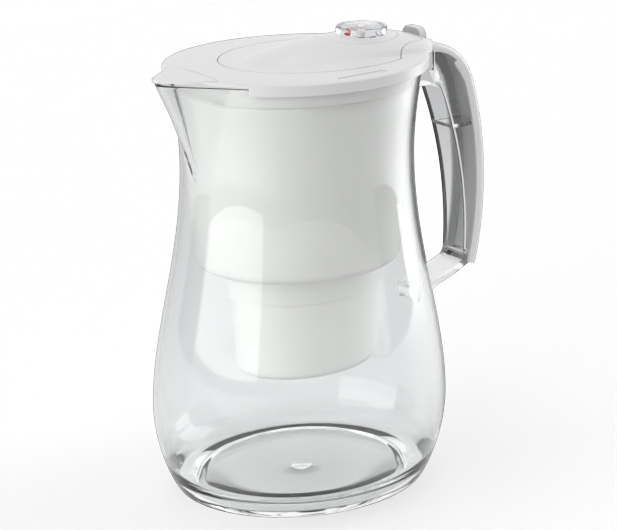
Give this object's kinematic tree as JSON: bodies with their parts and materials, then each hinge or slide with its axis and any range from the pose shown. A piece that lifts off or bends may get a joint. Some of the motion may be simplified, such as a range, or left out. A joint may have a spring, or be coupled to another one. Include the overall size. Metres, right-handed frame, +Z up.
{
  "type": "water filter pitcher",
  "caption": "Clear oval water filter pitcher with spout, rear handle, lift-out filter hopper and a white flip lid with a change indicator.",
  "frame": {"origin": "centre of the jug's underside, on the table", "axes": "+Z up, +X towards the handle, -X towards the spout"},
  "size_m": [0.2536, 0.1766, 0.2982],
  "materials": {
    "clear_plastic": "clear, polished",
    "clear_knob": "clear, polished",
    "white_plastic": "satin white",
    "grey_pad": "matt light grey",
    "filter_white": "satin white",
    "filter_mesh": "fine white mesh",
    "filter_granules": "dark granules",
    "seal_rubber": "soft, light grey",
    "pin_plastic": "white, smooth",
    "dark_plastic": "satin dark blue-grey",
    "scale_print": "dark blue with pale marks",
    "red_plastic": "red"
  },
  "bodies": {
    "jug": {"jug_shell": "clear_plastic", "handle_channel": "clear_plastic", "handle_cover": "white_plastic"},
    "hopper": {"hopper_bowl": "white_plastic", "filter_socket": "white_plastic"},
    "cartridge": {"cartridge_shell": "filter_white", "cartridge_cap": "filter_white", "cartridge_inlet_screen": "filter_mesh", "cartridge_outlet_screen": "filter_mesh", "filter_media": "filter_granules", "cartridge_seal": "seal_rubber"},
    "lid": {"lid_cover": "white_plastic", "lid_skirt": "white_plastic", "lid_bridge": "white_plastic", "bridge_lip": "white_plastic", "flap_hinge_pin": "pin_plastic"},
    "flap": {"fill_flap": "white_plastic", "thumb_pad": "grey_pad", "indicator_insert": "white_plastic", "indicator_cup": "dark_plastic", "indicator_scale": "scale_print"},
    "indicator": {"indicator_knob": "clear_knob", "indicator_pointer": "red_plastic", "indicator_spindle": "pin_plastic"},
    "spout_cover": {"spout_flap": "white_plastic", "spout_flap_pins": "pin_plastic"}
  },
  "joints": [
    {"name": "hopper_lift", "type": "slide", "parent": "jug", "child": "hopper", "axis": [0, 0, 1], "range_m": [0, 0.215]},
    {"name": "cartridge_lift", "type": "slide", "parent": "hopper", "child": "cartridge", "axis": [0, 0, 1], "range_m": [0, 0.1]},
    {"name": "lid_lift", "type": "slide", "parent": "hopper", "child": "lid", "axis": [0, 0, 1], "range_m": [0, 0.06]},
    {"name": "fill_flap_hinge", "type": "hinge", "parent": "lid", "child": "flap", "pos_m": [0.095, 0, 0.282], "axis": [0, 1, 0], "range_deg": [0, 55]},
    {"name": "indicator_turn", "type": "hinge", "parent": "flap", "child": "indicator", "pos_m": [0.0514, 0, 0.29], "axis": [0, 0, 1], "continuous": true},
    {"name": "spout_flap_hinge", "type": "hinge", "parent": "lid", "child": "spout_cover", "pos_m": [-0.0775, 0, 0.2823], "axis": [0, 1, 0], "range_deg": [0, 65]}
  ]
}
